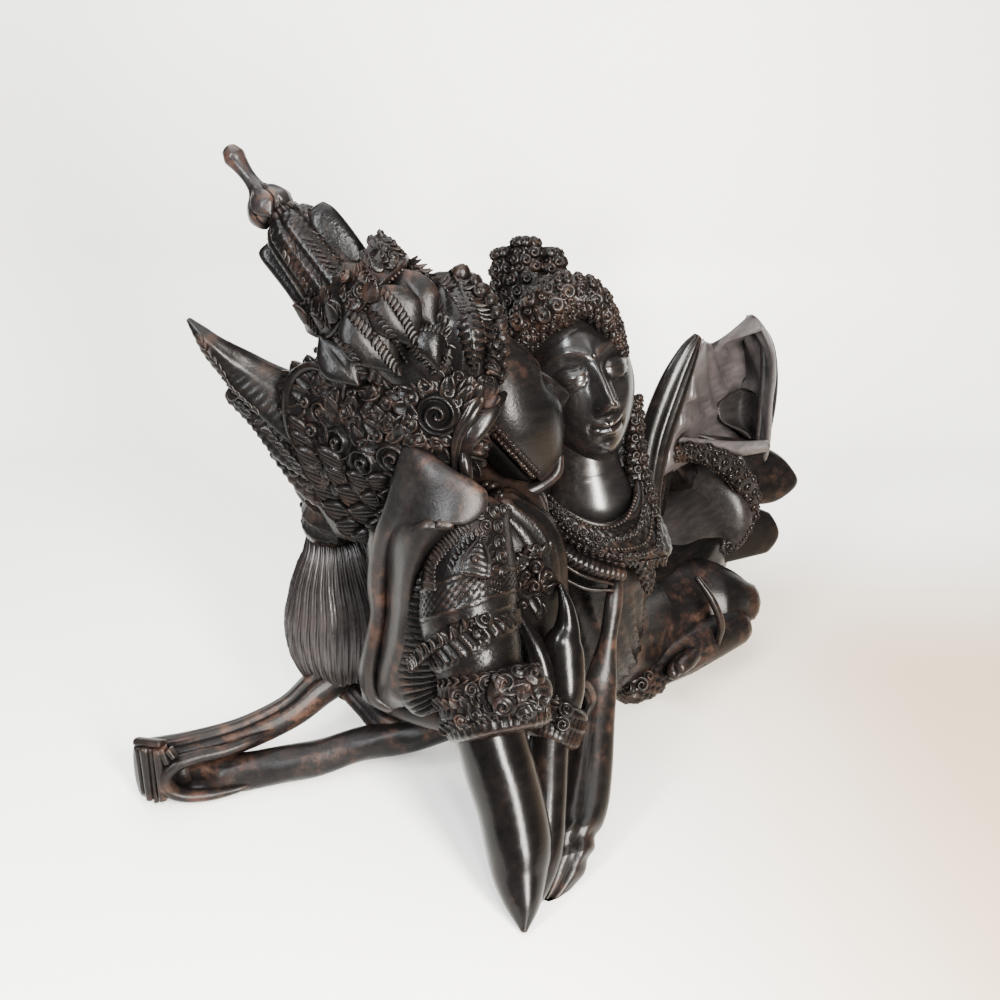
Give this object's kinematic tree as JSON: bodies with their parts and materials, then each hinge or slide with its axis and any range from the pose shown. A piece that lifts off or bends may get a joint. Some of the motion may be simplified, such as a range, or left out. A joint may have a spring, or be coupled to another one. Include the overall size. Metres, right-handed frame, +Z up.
{
  "type": "rama and sita wood carving",
  "caption": "Dark ebony carving of a reclining couple, cheek to cheek, with tall ornate crowns, a propped elbow, a combed hair bun and flaring cloth.",
  "frame": {"origin": "under the middle of the carving's bounding box, on the surface it stands on", "axes": "+Z up, X along the carving's length with the heads towards -X and the legs towards +X, -Y the side the chests face"},
  "size_m": [0.3668, 0.1834, 0.2553],
  "materials": {
    "ebony": "oiled and hand rubbed, nearly black with brown streaks"
  },
  "bodies": {
    "root": {"rama_and_sita_carving": "ebony"}
  },
  "joints": []
}
